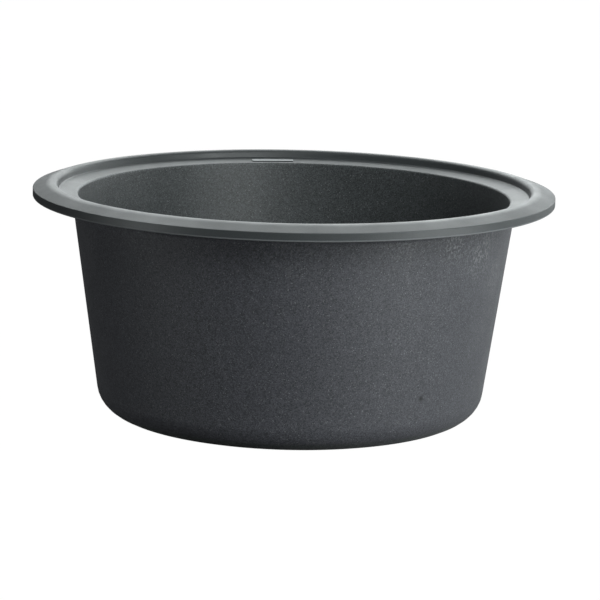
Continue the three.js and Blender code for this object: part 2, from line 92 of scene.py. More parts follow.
def sheetOutline(line, thickness):
    # a line and its copy on its left, as the section of pressed sheet
    offset = []
    for i, point in enumerate(line):
        into = point - line[max(i - 1, 0)]
        out = line[min(i + 1, len(line) - 1)] - point
        along = (into.normalized() + out.normalized()).normalized()
        isEnd = i in (0, len(line) - 1)
        stretch = 1 if isEnd else max(leastSpread, along.dot(out.normalized()))
        offset.append(point + Vector((-along.y, along.x)) * thickness / stretch)
    return list(line) + offset[::-1]


def addObject(name, mesh):
    made = bpy.data.objects.new(name, mesh)
    bpy.context.scene.collection.objects.link(made)
    return made


def baked(piece):
    # the result of the piece's modifiers becomes its own plain mesh
    graph = bpy.context.evaluated_depsgraph_get()
    mesh = bpy.data.meshes.new_from_object(piece.evaluated_get(graph))
    piece.modifiers.clear()
    old = piece.data
    piece.data = mesh
    bpy.data.meshes.remove(old)
    mesh.name = piece.name
    return piece


def cleaned(mesh, smoothAngle=32):
    work = bmesh.new()
    work.from_mesh(mesh)
    bmesh.ops.remove_doubles(work, verts=work.verts, dist=mergeGap)
    bmesh.ops.dissolve_degenerate(work, edges=work.edges, dist=mergeGap / 10)
    bmesh.ops.recalc_face_normals(work, faces=work.faces)
    if work.calc_volume(signed=True) < 0:
        bmesh.ops.reverse_faces(work, faces=work.faces)
    work.to_mesh(mesh)
    work.free()
    mesh.shade_smooth()
    mesh.set_sharp_from_angle(angle=math.radians(smoothAngle))
    return mesh


def newTree(name, sizes):
    # a tree that takes a mesh, the given sizes and a material, and gives a mesh
    tree = bpy.data.node_groups.new(name, "GeometryNodeTree")
    for label, kind in {"Geometry": "Geometry", **sizes, "Material": "Material"}.items():
        tree.interface.new_socket(label, in_out="INPUT", socket_type="NodeSocket" + kind)
    tree.interface.new_socket("Geometry", in_out="OUTPUT", socket_type="NodeSocketGeometry")
    return tree, tree.nodes.new("NodeGroupInput").outputs, tree.nodes.new("NodeGroupOutput")


def addNode(tree, kind, links=None, **settings):
    # links maps an input's name or number to a node, whose first output is meant, to an output
    # socket or to a plain value
    node = tree.nodes.new(kind)
    for key, value in settings.items():
        setattr(node, key, value)
    for key, source in (links or {}).items():
        if isinstance(source, bpy.types.Node):
            source = source.outputs[0]
        if isinstance(source, bpy.types.NodeSocket):
            tree.links.new(source, node.inputs[key])
        else:
            node.inputs[key].default_value = source
    return node


def endTree(tree, geometry, given, groupOut):
    realized = addNode(tree, "GeometryNodeRealizeInstances", {"Geometry": geometry})
    painted = addNode(tree, "GeometryNodeSetMaterial",
                      {"Geometry": realized, "Material": given["Material"]})
    tree.links.new(painted.outputs[0], groupOut.inputs["Geometry"])


def runTree(piece, tree, values):
    # sets the tree's inputs by identifier before the piece is first evaluated
    modifier = piece.modifiers.new(tree.name, "NODES")
    modifier.node_group = tree
    for item in tree.interface.items_tree:
        if item.item_type == "SOCKET" and item.in_out == "INPUT" and item.name in values:
            modifier[item.identifier] = values[item.name]
    return baked(piece)


def swept(tree, curve, given, caps):
    # the given section drawn along the curve, upright
    profile = addNode(tree, "GeometryNodeMeshToCurve", {"Mesh": given["Geometry"]})
    upright = addNode(tree, "GeometryNodeSetCurveNormal", {"Curve": curve}, mode="Z_UP")
    return addNode(tree, "GeometryNodeCurveToMesh",
                   {"Curve": upright, "Profile Curve": profile, "Fill Caps": caps})


def makeTurnedTree():
    # sweeps a profile of (radius - axisRadius, -height) round the Z axis
    tree, given, groupOut = newTree("turnedSection", {"Segments": "Int", "Axis Radius": "Float"})
    circle = addNode(tree, "GeometryNodeCurvePrimitiveCircle",
                     {"Resolution": given["Segments"], "Radius": given["Axis Radius"]})
    merged = addNode(tree, "GeometryNodeMergeByDistance",
                     {"Geometry": swept(tree, circle, given, False), "Distance": mergeGap})
    endTree(tree, merged, given, groupOut)
    return tree


def roundAngle(tree, given):
    # the turn about Z of each of Count copies
    index = addNode(tree, "GeometryNodeInputIndex")
    share = addNode(tree, "ShaderNodeMath", {0: index, 1: given["Count"]}, operation="DIVIDE")
    angle = addNode(tree, "ShaderNodeMath", {0: share, 1: 2 * math.pi}, operation="MULTIPLY")
    return addNode(tree, "ShaderNodeCombineXYZ", {"Z": angle})


def copiesAround(tree, given, geometry):
    # copies of the geometry on a circle, each turned to face outwards
    places = addNode(tree, "GeometryNodeMeshCircle",
                     {"Vertices": given["Count"], "Radius": given["Radius"]})
    return addNode(tree, "GeometryNodeInstanceOnPoints", {
        "Points": places, "Instance": geometry, "Rotation": roundAngle(tree, given)})


def makeCutterTree():
    # takes copies of a cutter, evenly round the Z axis, out of the piece
    tree, given, groupOut = newTree("cutRound", {"Cutter": "Object", "Count": "Int", "Radius": "Float"})
    cutter = addNode(tree, "GeometryNodeObjectInfo", {"Object": given["Cutter"]})
    copies = copiesAround(tree, given, cutter.outputs["Geometry"])
    solid = addNode(tree, "GeometryNodeRealizeInstances", {"Geometry": copies})
    cut = addNode(tree, "GeometryNodeMeshBoolean", {"Mesh 1": given["Geometry"], "Mesh 2": solid},
                  operation="DIFFERENCE", solver="EXACT")
    endTree(tree, cut, given, groupOut)
    return tree


def makeThreadTree():
    # a helical ridge of a given section, along +Z
    tree, given, groupOut = newTree("threadRidge", {
        "Turns": "Float", "Radius": "Float", "Length": "Float", "Steps": "Int"})
    helix = addNode(tree, "GeometryNodeCurveSpiral", {
        "Resolution": given["Steps"], "Rotations": given["Turns"],
        "Start Radius": given["Radius"], "End Radius": given["Radius"],
        "Height": given["Length"]})
    endTree(tree, swept(tree, helix, given, True), given, groupOut)
    return tree


def makeCopiesTree():
    # copies of the piece, evenly round the Z axis
    tree, given, groupOut = newTree("copiesRound", {"Count": "Int", "Radius": "Float", "Start": "Float"})
    start = addNode(tree, "ShaderNodeCombineXYZ", {"Z": given["Start"]})
    moved = addNode(tree, "GeometryNodeTransform",
                    {"Geometry": copiesAround(tree, given, given["Geometry"]), "Rotation": start})
    endTree(tree, moved, given, groupOut)
    return tree


turnedTree, cutterTree = makeTurnedTree(), makeCutterTree()
threadTree, copiesTree = makeThreadTree(), makeCopiesTree()


def turned(name, corners, material, segments=96, closed=True, sheet=0):
    # a piece of revolution from (radius, height, rounding) corners; an open outline meets the
    # axis at both ends, and a sheet's line gets its thickness on its left
    outline = filleted(corners, closed and not sheet)
    if sheet:
        outline = sheetOutline(outline, sheet)
    axisRadius = 1
    count = len(outline)
    edges = [(i, i + 1) for i in range(count - 1)]
    if closed:
        edges.append((count - 1, 0))
    profile = bpy.data.meshes.new(name)
    profile.from_pydata([((p[0] - axisRadius) * mm, -p[1] * mm, 0) for p in outline], edges, [])
    piece = addObject(name, profile)
    runTree(piece, turnedTree,
            {"Segments": segments, "Axis Radius": axisRadius * mm, "Material": material})
    cleaned(piece.data)
    return piece


def rod(name, radius, bottom, top, material, segments=96):
    return turned(name, [(0, bottom), (radius, bottom), (radius, top), (0, top)], material,
                  segments, closed=False)


def ring(name, radii, levels, roundings, material, segments):
    # inner and outer radius, bottom and top, and the rounding inside and outside
    (inner, outer), (bottom, top), (inside, outside) = radii, levels, roundings
    return turned(name, [(inner, bottom, inside), (outer, bottom, outside),
                         (outer, top, outside), (inner, top, inside)], material, segments)


def boxCorners(halfX, halfY):
    return [(-halfX, -halfY), (halfX, -halfY), (halfX, halfY), (-halfX, halfY)]


def arc(centre, radius, start, sweep, steps=12):
    angles = [start + sweep * k / steps for k in range(steps + 1)]
    return [(centre[0] + radius * math.cos(a), centre[1] + radius * math.sin(a)) for a in angles]


def lofted(name, rings, material=None):
    # a skin over rings of (x, y, z) points, closed at both ends
    count = len(rings[0])
    points = [tuple(v * mm for v in point) for ringPoints in rings for point in ringPoints]
    faces = [tuple(range(count)), tuple(range(len(points) - count, len(points)))[::-1]]
    for r in range(len(rings) - 1):
        for i in range(count):
            a, b = r * count + i, r * count + (i + 1) % count
            faces.append((a, b, b + count, a + count))
    mesh = bpy.data.meshes.new(name)
    mesh.from_pydata(points, [], faces)
    cleaned(mesh)
    mesh.materials.append(material)
    return addObject(name, mesh)


def prism(name, outline, bottom, top, material=None):
    # a straight solid over a flat outline in the XY plane
    return lofted(name, [[(x, y, z) for x, y in outline] for z in (bottom, top)], material)


def changed(piece, kind, **settings):
    modifier = piece.modifiers.new(kind.lower(), kind)
    for key, value in settings.items():
        setattr(modifier, key, value)
    return baked(piece)


def combined(piece, other, operation):
    # a boolean of the two, which uses up the other
    changed(piece, "BOOLEAN", object=other, operation=operation, solver="EXACT")
    bpy.data.objects.remove(other)
    return piece


def cutRound(piece, cutter, count, radius, material):
    # takes count copies of the cutter, radius out from the axis, from the piece
    runTree(piece, cutterTree,
            {"Cutter": cutter, "Count": count, "Radius": radius * mm, "Material": material})
    bpy.data.objects.remove(cutter)
    cleaned(piece.data)
    return piece


def placed(piece, matrix):
    piece.data.transform(matrix)
    return piece


def settled(piece, body, nodes):
    # the finished piece stands for its CAD nodes, on their body
    piece.data.update()
    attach(piece, body)
    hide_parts(*nodes.split())
    return piece


print("tools ready")


cameraSettings = Settings({
    "place": (0, -2.2968, 0.353), "down": 0.194, "right": 0.003, "roll": 0.023,     # metres, radians
    "lens": 168, "sensor": 36, "farthest": 60,
})


def makeCamera(s):
    data = bpy.data.cameras.new("camera")
    data.lens, data.sensor_width, data.clip_end = s.lens, s.sensor, s.farthest
    camera = addObject("camera", data)
    camera.matrix_world = (Matrix.Translation(s.place) @ Matrix.Rotation(-s.right, 4, "Z")
                           @ Matrix.Rotation(math.pi / 2 - s.down, 4, "X")
                           @ Matrix.Rotation(s.roll, 4, "Z"))
    bpy.context.scene.camera = camera


makeCamera(cameraSettings)
print("camera ready")


def newMaterial(name, **sockets):
    material = bpy.data.materials.new(name)
    material.use_nodes = True
    tree = material.node_tree
    shader = tree.nodes["Principled BSDF"]
    for key, value in sockets.items():
        shader.inputs[key.replace("_", " ")].default_value = value
    return material, tree, shader


def noise(tree, vector, scale, detail=2, roughness=0.5):
    made = addNode(tree, "ShaderNodeTexNoise", {
        "Vector": vector, "Scale": scale, "Detail": detail, "Roughness": roughness})
    return made.outputs["Fac"]


def ranged(tree, value, low, high, toLow=0, toHigh=1, kind="LINEAR"):
    made = addNode(tree, "ShaderNodeMapRange", {
        "Value": value, "From Min": low, "From Max": high, "To Min": toLow, "To Max": toHigh},
        interpolation_type=kind)
    return made.outputs["Result"]


def maths(tree, operation, *values):
    made = addNode(tree, "ShaderNodeMath", dict(enumerate(values)), operation=operation)
    return made.outputs[0]


def times(tree, first, second):
    return maths(tree, "MULTIPLY", first, second)


def mixed(tree, share, first, second):
    made = addNode(tree, "ShaderNodeMix", {0: share, 6: first, 7: second}, data_type="RGBA")
    return made.outputs[2]


def bumped(tree, shader, height, strength, distance):
    made = addNode(tree, "ShaderNodeBump", {
        "Height": height, "Strength": strength, "Distance": distance})
    tree.links.new(made.outputs["Normal"], shader.inputs["Normal"])


def objectCoords(tree):
    # the point, its distance from the Z axis and its height
    point = addNode(tree, "ShaderNodeTexCoord").outputs["Object"]
    parts = addNode(tree, "ShaderNodeSeparateXYZ", {"Vector": point})
    x, y, z = parts.outputs
    squared = maths(tree, "ADD", times(tree, x, x), times(tree, y, y))
    return point, maths(tree, "SQRT", squared), z


compositeLook = Settings({
    "inside": ((0.0145, 0.016, 0.0165, 1), (0.085, 0.093, 0.096, 1)),     # darkest and palest grain
    "outside": ((0.020, 0.0205, 0.0235, 1), (0.096, 0.097, 0.111, 1)),
    "speck": (0.26, 0.265, 0.27, 1),
    "rim": (0.034, 0.039, 0.040, 1),
    # edge: a pale line on the band's lowest millimetre, partly its parting line and partly a painted
    # highlight on the rounding
    "edge": (0.20, 0.21, 0.215, 1),
    "dust": (0.21, 0.215, 0.22, 1),
    "grainScale": 1350,     # per metre
    "fine": (900, 3, 0.7), "cloud": (22, 4, 0.6),       # a noise's scale, detail and roughness
    "toneShares": (0.55, 0.3, 0.15),    # of the grains, the fine noise and the clouds
    "toneRange": (0.15, 0.85), "speckShare": 0.07, "speckCore": (0.25, 0.55),
    "rimHeights": (-0.0125, -0.0095), "rimRadii": (0.1795, 0.1835), "rimGrain": 0.3,
    "edgeHeights": (-0.0108, -0.0100), "edgeRadii": (0.2142, 0.2150), "cover": 0.9,
    "wallMiddle": (0.1831, 0.1476),     # radius half way through the wall, and its fall per metre
    "wallBlend": 0.0005, "roughness": (0.44, 0.56), "roughRange": (0.3, 0.7),
    "smoothness": (0.06, 0.05),         # taken off it on the rim, and inside
    "gloss": 0.5, "bump": (0.22, 0.0005), "speckRelief": 0.5,
    "dustPlaces": (         # centre, reach and strength of the pale scuffs
        ((0.149, -0.101, -0.036), 0.034, 0.8),
        ((0.128, -0.130, -0.024), 0.026, 0.7),
        ((0.164, -0.068, -0.060), 0.024, 0.6),
        ((0.085, -0.160, -0.024), 0.026, 0.35),
        ((0.0, -0.180, -0.026), 0.040, 0.25),
        ((-0.164, -0.074, -0.042), 0.022, 0.35),
        ((-0.120, -0.136, -0.026), 0.030, 0.25),
    ),
    "scratches": (520, 4, 0.6), "scratchRange": (0.51, 0.61),
    "scratchTurn": (0.5, 0.6, 0.3), "scratchStretch": 1.3,
    # a real pit in the wall; its near-black colour is painted shade in its hollow
    "pit": (0.1041, -0.1273, -0.1513), "pitRadius": 0.004, "pitDepth": 3,
    "pitColour": (0.01, 0.01, 0.01, 1),
})


def nearPlace(tree, point, centre, reach):
    # 1 at the place, falling to 0 at reach
    gap = addNode(tree, "ShaderNodeVectorMath", {0: point, 1: centre}, operation="DISTANCE")
    return ranged(tree, gap.outputs["Value"], 0, reach, 1, 0, "SMOOTHSTEP")


def makeComposite(s):
    # cast acrylic stone: close grains of many greys, bluer outside, smoother on the moulded rim
    material, tree, shader = newMaterial("composite", Specular_IOR_Level=s.gloss)
    point, radius, height = objectCoords(tree)

    cells = addNode(tree, "ShaderNodeTexVoronoi", {"Vector": point, "Scale": s.grainScale})
    picks = addNode(tree, "ShaderNodeSeparateColor", {"Color": cells.outputs["Color"]}).outputs
    core = ranged(tree, cells.outputs["Distance"], *s.speckCore, 1, 0)
    specks = times(tree, ranged(tree, picks[1], 1 - s.speckShare, 1), core)
    rim = times(tree, ranged(tree, height, *s.rimHeights),
                ranged(tree, radius, *s.rimRadii))
    # the band's lowest millimetre is painted pale: a parting line lifted into a painted highlight
    edge = times(tree, ranged(tree, radius, *s.edgeRadii),
                 ranged(tree, height, *s.edgeHeights, 1, 0))
    middle, fall = s.wallMiddle
    leaned = maths(tree, "SUBTRACT", radius, times(tree, height, fall))
    outside = ranged(tree, leaned, middle - s.wallBlend, middle + s.wallBlend)
    fine = noise(tree, point, *s.fine)
    cloud = noise(tree, point, *s.cloud)
    calm = ranged(tree, rim, 0, 1, 1, s.rimGrain)
    parts = [times(tree, part, share) for part, share in zip((picks[0], fine, cloud), s.toneShares)]
    tone = maths(tree, "ADD", parts[0], maths(tree, "ADD", parts[1], parts[2]))
    darkest, palest = (mixed(tree, outside, inner, outer)
                       for inner, outer in zip(s.inside, s.outside))
    body = mixed(tree, ranged(tree, tone, *s.toneRange), darkest, palest)
    grained = mixed(tree, times(tree, specks, calm), body, s.speck)
    smooth = mixed(tree, times(tree, rim, s.cover), grained, s.rim)
    toned = mixed(tree, times(tree, edge, s.cover), smooth, s.edge)
    dust = 0
    for centre, reach, strength in s.dustPlaces:
        dust = maths(tree, "MAXIMUM", dust, times(tree, nearPlace(tree, point, centre, reach), strength))
    slanted = addNode(tree, "ShaderNodeMapping", {
        "Vector": point, "Rotation": s.scratchTurn, "Scale": (1, 1, 1 / s.scratchStretch)})
    patchy = ranged(tree, noise(tree, slanted, *s.scratches), *s.scratchRange)
    dusted = mixed(tree, times(tree, times(tree, dust, patchy), outside), toned, s.dust)
    # the pit is sunk by the bump and painted near black: painted shade in its hollow
    pit = nearPlace(tree, point, s.pit, s.pitRadius)
    final = mixed(tree, times(tree, pit, s.cover), dusted, s.pitColour)
    tree.links.new(final, shader.inputs["Base Color"])
    low, high = s.roughness
    rimShare, insideShare = s.smoothness
    polish = maths(tree, "MAXIMUM", times(tree, rim, rimShare),
                   ranged(tree, outside, 0, 1, insideShare, 0))
    rough = maths(tree, "SUBTRACT", ranged(tree, cloud, *s.roughRange, high, low), polish)
    tree.links.new(rough, shader.inputs["Roughness"])
    relief = maths(tree, "ADD", times(tree, fine, calm), times(tree, specks, s.speckRelief))
    bumped(tree, shader, maths(tree, "SUBTRACT", relief, times(tree, pit, s.pitDepth)), *s.bump)
    return material


metalLooks = {      # lines per metre, colour, patches, roughness and relief
    "stainless": (900, (0.60, 0.61, 0.62, 1), (0.45, 0.46, 0.47, 1), (0.20, 0.34), 0.012),
    "polishedSteel": (300, (0.72, 0.73, 0.74, 1), (0.62, 0.63, 0.64, 1), (0.07, 0.16), 0.004),
    "brass": (1400, (0.66, 0.47, 0.20, 1), (0.42, 0.29, 0.13, 1), (0.26, 0.42), 0.03),
}
film = Settings({       # on every metal
    "noise": (60, 4, 0.65), "lines": (2, 0.6), "range": (0.4, 0.75), "wearRange": (0.35, 0.65),
    "share": 0.4, "relief": 0.0003,
})


def patched(tree, shader, look, coat, patches, wear, relief):
    # colour and roughness change in patches over a fine relief
    colour, patch, roughness, depth = look
    share = ranged(tree, patches, *coat.range)
    tree.links.new(mixed(tree, share, colour, patch), shader.inputs["Base Color"])
    tree.links.new(ranged(tree, wear, *coat.wearRange, *roughness), shader.inputs["Roughness"])
    bumped(tree, shader, relief, depth, coat.relief)


def makeMetal(name):
    # turned or pressed metal: fine rings round the axis, and a dulled film in patches
    scale, *look = metalLooks[name]
    material, tree, shader = newMaterial(name, Metallic=1)
    point, radius, height = objectCoords(tree)
    rings = addNode(tree, "ShaderNodeCombineXYZ", {"X": radius, "Z": height})
    lines = noise(tree, rings, scale, *film.lines)
    dulled = noise(tree, point, *film.noise)
    wear = maths(tree, "ADD", times(tree, lines, 1 - film.share), times(tree, dulled, film.share))
    patched(tree, shader, look, film, dulled, wear, lines)
    return material


softLooks = {       # grains per metre, colour, patches, roughness and relief
    "platePlastic": (900, (0.20, 0.215, 0.22, 1), (0.17, 0.18, 0.185, 1), (0.32, 0.44), 0.04),
    "blackRubber": (700, (0.016, 0.016, 0.017, 1), (0.045, 0.045, 0.047, 1), (0.62, 0.80), 0.12),
    "greySeal": (1500, (0.23, 0.24, 0.25, 1), (0.32, 0.33, 0.34, 1), (0.70, 0.85), 0.3),
    "blackPlastic": (450, (0.015, 0.016, 0.017, 1), (0.032, 0.033, 0.035, 1), (0.34, 0.48), 0.06),
    "whitePlastic": (450, (0.68, 0.68, 0.65, 1), (0.60, 0.59, 0.55, 1), (0.34, 0.46), 0.05),
}
bloom = Settings({      # on every moulding
    "noise": (40, 5, 0.6), "grain": (3, 0.6), "range": (0.4, 0.7), "wearRange": (0.35, 0.65),
    "relief": 0.0004,
})


def makeMoulded(name):
    # moulded rubber or plastic: faint bloom in patches over a fine moulded grain
    scale, *look = softLooks[name]
    material, tree, shader = newMaterial(name)
    point = addNode(tree, "ShaderNodeTexCoord").outputs["Object"]
    patches = noise(tree, point, *bloom.noise)
    grain = noise(tree, point, scale, *bloom.grain)
    patched(tree, shader, look, bloom, patches, patches, grain)
    return material


composite = makeComposite(compositeLook)
stainless, polishedSteel, brass = (makeMetal(name) for name in metalLooks)
platePlastic, blackRubber, greySeal, blackPlastic, whitePlastic = (
    makeMoulded(name) for name in softLooks)
print("materials ready")


bowl = Settings({
    "crownRounding": 18, "rimRadius": 216, "rimUnderside": -11.5, "bandTop": -4.6, "bandTopRounding": 0.6,
    "bandFootRounding": 1.2, "crestOuter": 202.5, "crestInner": 196.3, "crestRounding": 3.9,
    "stepFoot": 194.6, "stepDepth": 6.5, "stepRounding": 1.2,
    "mouthRadius": 178.8, "mouthLevel": -9.1, "mouthRounding": 2.2,
    "wallFoot": 152.5, "wallFootLevel": -179.5, "wallFootRounding": 20,
    "floorLevel": -181.5, "seatRadius": 59, "seatLevel": -186, "seatRounding": 1.5,
    "drainRadius": 45, "drainRounding": 0.8,
    "baseRadius": 158.8, "baseLevel": -192, "baseRounding": 23.6,
    "haunchRadius": 183.07, "haunchLevel": -17.5, "landInner": 202, "haunchRounding": 4,
    "segments": 288,
})
clipInserts = Settings({
    "count": 4, "pitchRadius": 208, "radius": 4, "bore": 2.6, "length": 5.6, "gap": 0.3,
    "edge": 0.35, "turn": math.radians(45), "segments": 40, "pocketSegments": 32,
})


def makeBowl(s, inserts):
    piece = turned("sinkBowl", [
        (s.crestInner, 0, s.crestRounding),
        (s.stepFoot, -s.stepDepth, s.stepRounding),
        (s.mouthRadius, s.mouthLevel, s.mouthRounding),
        (s.wallFoot, s.wallFootLevel, s.wallFootRounding),
        (s.seatRadius, s.floorLevel, s.seatRounding),
        (s.seatRadius, s.seatLevel),
        (s.drainRadius, s.seatLevel, s.drainRounding),
        (s.drainRadius, s.baseLevel, s.drainRounding),
        (s.baseRadius, s.baseLevel, s.baseRounding),
        (s.haunchRadius, s.haunchLevel, s.haunchRounding),
        (s.landInner, s.rimUnderside, s.haunchRounding),
        (s.rimRadius, s.rimUnderside, s.bandFootRounding),
        (s.rimRadius, s.bandTop, s.bandTopRounding),
        (s.crestOuter, 0, s.crownRounding),
    ], composite, s.segments)
    gap = inserts.gap
    pocket = rod("pocket", inserts.radius + gap, s.rimUnderside - 1,
                 s.rimUnderside + inserts.length + gap, composite, inserts.pocketSegments)
    placed(piece, Matrix.Rotation(-inserts.turn, 4, "Z"))
    cutRound(piece, pocket, inserts.count, inserts.pitchRadius, composite)
    return placed(piece, Matrix.Rotation(inserts.turn, 4, "Z"))


settled(makeBowl(bowl, clipInserts), "sink", "sink_bowl")


def makeClipInserts(s, underside):
    edge = s.edge
    piece = turned("clipInserts", [
        (s.bore + edge, underside), (s.radius, underside, edge),
        (s.radius, underside + s.length, edge), (s.bore, underside + s.length),
        (s.bore, underside + edge),
    ], brass, s.segments)
    return runTree(piece, copiesTree, {"Count": s.count, "Radius": s.pitchRadius * mm,
                                       "Start": s.turn, "Material": brass})


settled(makeClipInserts(clipInserts, bowl.rimUnderside), "sink",
        "clip_insert_1 clip_insert_2 clip_insert_3 clip_insert_4")
print("bowl ready")


cup = Settings({
    "sheet": 1, "flangeRadius": 57, "flangeLevel": -182.5, "flangeDish": 0.5, "lip": 1.6,
    "mouthRadius": 46.5, "mouthRounding": 4, "wallTop": -186.5, "wallRadius": 42.5,
    "seatTopRadius": 40.1, "seatTop": -201, "floorRadius": 31.1, "floorLevel": -204.5,
    "wellRadius": 11, "wellLevel": -208.5, "screwHole": 4.5,
    "portCount": 6, "portInner": 14.5, "portWidth": 8, "portHalfAngle": math.radians(11),
    "lipRounding": 1.2, "seatRounding": 1.5, "floorRounding": 2, "wellRounding": 1, "segments": 160,
})


def kidneyPort(s):
    # a slot bent round the axis, drawn about its own middle
    half = s.portWidth / 2
    middle = s.portInner + half
    bend = s.portHalfAngle
    capX, capY = middle * math.cos(bend), middle * math.sin(bend)
    line = (arc((0, 0), middle + half, -bend, 2 * bend)
            + arc((capX, capY), half, bend, math.pi)[1:-1]
            + arc((0, 0), middle - half, bend, -2 * bend)
            + arc((capX, -capY), half, math.pi - bend, math.pi)[1:-1])
    below, above = (s.floorLevel + reach for reach in cutterReach)
    return prism("port", [(x - middle, y) for x, y in line], below, above)


def makeCup(s):
    piece = turned("strainerCup", [
        (s.flangeRadius, s.flangeLevel - s.lip),
        (s.flangeRadius, s.flangeLevel, s.lipRounding),
        (s.mouthRadius, s.flangeLevel - s.flangeDish, s.mouthRounding),
        (s.wallRadius, s.wallTop, s.mouthRounding),
        (s.seatTopRadius, s.seatTop, s.seatRounding),
        (s.floorRadius, s.floorLevel, s.floorRounding),
        (s.wellRadius + s.sheet, s.floorLevel, s.wellRounding),
        (s.wellRadius, s.wellLevel, s.wellRounding),
        (s.screwHole, s.wellLevel),
    ], stainless, s.segments, sheet=s.sheet)
    return cutRound(piece, kidneyPort(s), s.portCount, s.portInner + s.portWidth / 2, stainless)


settled(makeCup(cup), "sink", "strainer_cup")

seals = Settings({
    "flangeInner": 48.7, "flangeOuter": 55.7, "bottom": -185.8, "topInner": -184.095,
    "topOuter": -183.762, "gasketInner": 45.75, "gasketOuter": 54, "gasketTop": -192.2,
    "gasketBottom": -194.4, "edge": 0.4, "segments": 128,
})


def makeSeals(s):
    edge = s.edge
    flange = turned("flangeSeal", [
        (s.flangeInner, s.bottom, edge), (s.flangeOuter, s.bottom, edge),
        (s.flangeOuter, s.topOuter, edge), (s.flangeInner, s.topInner, edge),
    ], greySeal, s.segments)
    gasket = ring("wasteGasket", (s.gasketInner, s.gasketOuter),
                  (s.gasketBottom, s.gasketTop), (edge, edge), blackRubber, s.segments)
    settled(flange, "sink", "flange_seal")
    settled(gasket, "sink", "waste_gasket")


makeSeals(seals)

screw = Settings({
    "radius": 3.9, "tip": -218.5, "headBottom": -207.1, "headTop": -203.0, "headRadius": 8,
    "socketRadius": 4.6, "socketDepth": 3.4, "slotWidth": 1.6, "slotDepth": 1.5,
    "threadPitch": 1.25, "threadLow": -217.9, "threadHigh": -210.5, "threadHeight": 0.22,
    "tipRounding": 0.8, "headRounding": 1, "footRounding": 0.4, "edge": 0.3, "slotReach": 9,
    "washerRadius": 9.5, "washerBottom": -208.3, "washerTop": -207.3, "washerGap": 0.3, "washerEdge": 0.2,
    "clipInner": 3.15, "clipOuter": 4.4, "clipBottom": -205.2, "clipTop": -204.2,
    "insertInner": 4.2, "insertOuter": 5.5, "insertTop": -209.9, "insertLength": 8,
    "segments": 96, "ringSegments": 64,
})


ridge = Settings({"halfWidth": 0.36, "crest": 0.25, "sunk": 0.15, "stepsPerTurn": 36})


def threadRidge(name, radius, low, high, pitch, height, material):
    # a helical ridge whose foot is sunk a little into the shank
    profile = bpy.data.meshes.new(name)
    foot = pitch * ridge.halfWidth
    crest = foot * ridge.crest
    corners = [(-ridge.sunk, -foot), (height, -crest), (height, crest), (-ridge.sunk, foot)]
    profile.from_pydata([(x * mm, y * mm, 0) for x, y in corners], [(0, 1), (1, 2), (2, 3), (3, 0)], [])
    piece = addObject(name, profile)
    turns = (high - low) / pitch
    runTree(piece, threadTree, {
        "Turns": turns, "Radius": radius * mm, "Length": (high - low) * mm,
        "Steps": round(turns * ridge.stepsPerTurn), "Material": material})
    cleaned(piece.data)
    return placed(piece, Matrix.Translation((0, 0, low * mm)))


def joined(piece, *others):
    # adds loose shells that overlap the piece a little
    work = bmesh.new()
    for one in (piece, *others):
        work.from_mesh(one.data)
    work.to_mesh(piece.data)
    work.free()
    for one in others:
        bpy.data.objects.remove(one)
    return piece


def makeScrewParts(s):
    edge = s.edge
    piece = turned("centreScrew", [
        (0, s.tip), (s.radius, s.tip, s.tipRounding), (s.radius, s.headBottom),
        (s.headRadius, s.headBottom, s.footRounding),
        (s.headRadius, s.headTop, s.headRounding), (s.socketRadius, s.headTop, edge),
        (s.socketRadius, s.headTop - s.socketDepth), (0, s.headTop - s.socketDepth),
    ], stainless, s.segments, closed=False)
    half, reach = s.slotWidth / 2, s.slotReach
    slot = prism("slot", boxCorners(reach, half), s.headTop - s.slotDepth, s.headTop + 1)
    combined(piece, slot, "DIFFERENCE")
    cleaned(piece.data)
    thread = threadRidge("screwThread", s.radius, s.threadLow, s.threadHigh,
                         s.threadPitch, s.threadHeight, stainless)
    settled(joined(piece, thread), "sink", "centre_screw")
    washer = ring("screwWasher", (s.radius + s.washerGap, s.washerRadius),
                  (s.washerBottom, s.washerTop), (s.washerEdge, edge), stainless, s.segments)
    settled(washer, "sink", "screw_washer")
    clip = ring("stemClip", (s.clipInner, s.clipOuter), (s.clipBottom, s.clipTop),
                (edge, edge), stainless, s.ringSegments)
    settled(clip, "sink", "stem_clip")
    insert = ring("threadInsert", (s.insertInner, s.insertOuter),
                  (s.insertTop - s.insertLength, s.insertTop), (0, edge), brass, s.ringSegments)
    settled(insert, "sink", "thread_insert")


makeScrewParts(screw)
print("strainer cup ready")


waste = Settings({
    "flangeRadius": 54, "flangeTop": -194.6, "flangeBottom": -197.8, "flangeRounding": 0.8, "wall": 2.8,
    "sumpRadius": 47.6, "sumpTaper": 2, "sumpDepth": 24.3, "sumpSlope": 0.25, "sumpRounding": 7,
    "sumpRise": 1, "hollowRise": 4.2,   # how far each goes up into or through the flange
    "hubRadius": 8.6, "hubTop": -209.7, "hubBottom": -221.2, "pocketRadius": 5.8, "pocketBottom": -218.2,
    "gussetCount": 12, "gussetThickness": 2.2, "gussetHeight": 9, "gussetRise": 1.6, "gussetBevel": 0.35,
    "ductStart": 25, "ductEnd": 88, "ductHalfWidth": 36, "ductSteps": 24,
    "outletEnd": 118, "outletRadius": 23.9, "boreRadius": 20.3, "outletAxis": -222.5,
    "seam": 0.04,       # the outlet is this much wider than the duct that it meets
    "threadStart": 91, "threadEnd": 104.5, "threadPitch": 3, "threadHeight": 0.9,
    "segments": 128, "outletSegments": 96, "hubSegments": 64, "smoothAngle": 28,
})
outletTurn = (Matrix.Translation((0, 0, waste.outletAxis * mm))
              @ Matrix.Rotation(math.radians(-90), 4, "X"))


